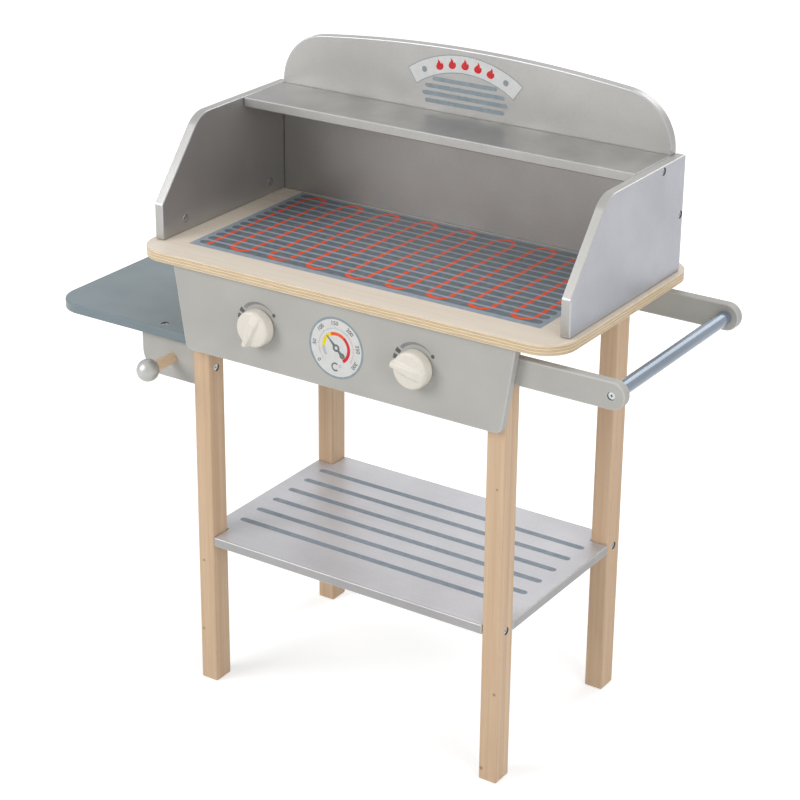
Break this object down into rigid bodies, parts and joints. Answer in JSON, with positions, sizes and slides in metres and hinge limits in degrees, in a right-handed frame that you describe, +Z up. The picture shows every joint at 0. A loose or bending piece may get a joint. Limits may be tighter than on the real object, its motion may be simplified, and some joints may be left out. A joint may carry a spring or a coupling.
{
  "type": "toy barbecue grill",
  "caption": "Free-standing toy barbecue on square legs: plywood top in an open-fronted hood, turning knobs, side tray with a utensil peg, towel bar and a lower shelf.",
  "frame": {"origin": "middle of the whole footprint, on the floor", "axes": "+X to the right along the grill as the user faces it, +Y to its back, +Z up"},
  "size_m": [0.7806, 0.3482, 0.7735],
  "materials": {
    "leg_wood": "clear lacquered beech",
    "birch_plywood": "clear lacquered plywood",
    "dowel_wood": "bare turned wood",
    "silver_paint": "satin silver paint on board",
    "grey_paint": "matt light grey paint on board",
    "blue_grey_paint": "satin blue-grey paint on wood",
    "ball_silver": "silver paint on wood",
    "knob_white": "satin off-white",
    "zinc_steel": "zinc plated"
  },
  "bodies": {
    "grill": {"arm_screw_lower_front": "zinc_steel", "arm_screw_lower_rear": "zinc_steel", "arm_screw_upper_front": "zinc_steel", "arm_screw_upper_rear": "zinc_steel", "bar_screw_front": "zinc_steel", "bar_screw_rear": "zinc_steel", "bracket_screw_front": "zinc_steel", "bracket_screw_rear": "zinc_steel", "control_panel": "grey_paint", "handle_arm_front": "grey_paint", "handle_arm_rear": "grey_paint", "handle_bar": "blue_grey_paint", "hood_back": "silver_paint", "hood_barrel_nut_front_left": "zinc_steel", "hood_barrel_nut_front_right": "zinc_steel", "hood_barrel_nut_rear_left": "zinc_steel", "hood_barrel_nut_rear_right": "zinc_steel", "hood_bolt_front_left": "zinc_steel", "hood_bolt_front_right": "zinc_steel", "hood_bolt_rear_left": "zinc_steel", "hood_bolt_rear_right": "zinc_steel", "hood_screw_back_left": "zinc_steel", "hood_screw_back_right": "zinc_steel", "hood_screw_shelf_left": "zinc_steel", "hood_screw_shelf_right": "zinc_steel", "hood_side_left": "silver_paint", "hood_side_right": "silver_paint", "knob_washer_left": "zinc_steel", "knob_washer_right": "zinc_steel", "leg_dowel_front_left": "dowel_wood", "leg_dowel_front_right": "dowel_wood", "leg_dowel_rear_left": "dowel_wood", "leg_dowel_rear_right": "dowel_wood", "leg_front_left": "leg_wood", "leg_front_right": "leg_wood", "leg_rear_left": "leg_wood", "leg_rear_right": "leg_wood", "lower_shelf": "silver_paint", "panel_screw_lower_left": "zinc_steel", "panel_screw_lower_right": "zinc_steel", "panel_screw_upper_left": "zinc_steel", "panel_screw_upper_right": "zinc_steel", "peg_ball": "ball_silver", "shelf_screw_front_left": "zinc_steel", "shelf_screw_front_right": "zinc_steel", "shelf_screw_rear_left": "zinc_steel", "shelf_screw_rear_right": "zinc_steel", "side_tray": "blue_grey_paint", "table_top": "birch_plywood", "tray_bracket_front": "grey_paint", "tray_bracket_rear": "grey_paint", "tray_screw_front": "zinc_steel", "tray_screw_rear": "zinc_steel", "upper_shelf": "silver_paint", "utensil_peg": "dowel_wood"},
    "left_knob": {"knob_left": "knob_white", "knob_screw_left": "zinc_steel"},
    "right_knob": {"knob_right": "knob_white", "knob_screw_right": "zinc_steel"}
  },
  "joints": [
    {"name": "left_knob_turn", "type": "hinge", "parent": "grill", "child": "left_knob", "pos_m": [-0.06722, -0.13445, 0.49665], "axis": [0, -1, 0], "continuous": true},
    {"name": "right_knob_turn", "type": "hinge", "parent": "grill", "child": "right_knob", "pos_m": [0.14427, -0.13445, 0.49665], "axis": [0, -1, 0], "continuous": true}
  ]
}
